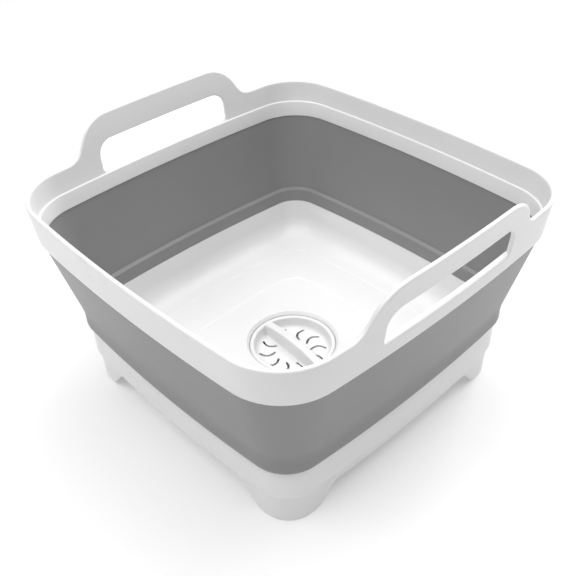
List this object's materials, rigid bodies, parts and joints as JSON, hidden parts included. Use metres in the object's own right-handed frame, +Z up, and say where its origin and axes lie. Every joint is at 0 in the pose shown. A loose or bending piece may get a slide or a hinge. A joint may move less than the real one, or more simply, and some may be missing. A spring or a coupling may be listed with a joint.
{
  "type": "collapsible washbasin",
  "caption": "Square collapsible washbasin: rigid handled rim on a folding elastomer wall over a footed base tub, with a turn-to-open strainer drain in its floor.",
  "frame": {"origin": "on the table under the middle of the basin, level with the soles of its feet", "axes": "+Z up; the two handles stand at the X sides, with +X to the right one, and +Y runs from the front side to the back"},
  "size_m": [0.3124, 0.3098, 0.204],
  "materials": {
    "white_plastic": "satin",
    "grey_elastomer": "matte"
  },
  "bodies": {
    "base": {"base_tub": "white_plastic", "folding_wall": "grey_elastomer"},
    "rim": {"rim_frame": "white_plastic"},
    "strainer": {"drain_strainer": "white_plastic", "strainer_seal": "grey_elastomer"},
    "stopper": {"drain_stopper": "white_plastic", "stopper_seal": "grey_elastomer"}
  },
  "joints": [
    {"name": "rim_collapse", "type": "slide", "parent": "base", "child": "rim", "axis": [0, 0, 1], "range_m": [-0.14, 0], "deforming": ["folding_wall"]},
    {"name": "strainer_turn", "type": "hinge", "parent": "base", "child": "strainer", "pos_m": [0, 0, 0.0238], "axis": [0, 0, 1], "range_deg": [0, 90]},
    {"name": "stopper_lift", "type": "slide", "parent": "base", "child": "stopper", "axis": [0, 0, 1], "range_m": [0, 0.004]}
  ],
  "couplings": [
    {"joint": "stopper_lift", "follows": "strainer_turn", "m_per_rad": 0.0025464}
  ]
}
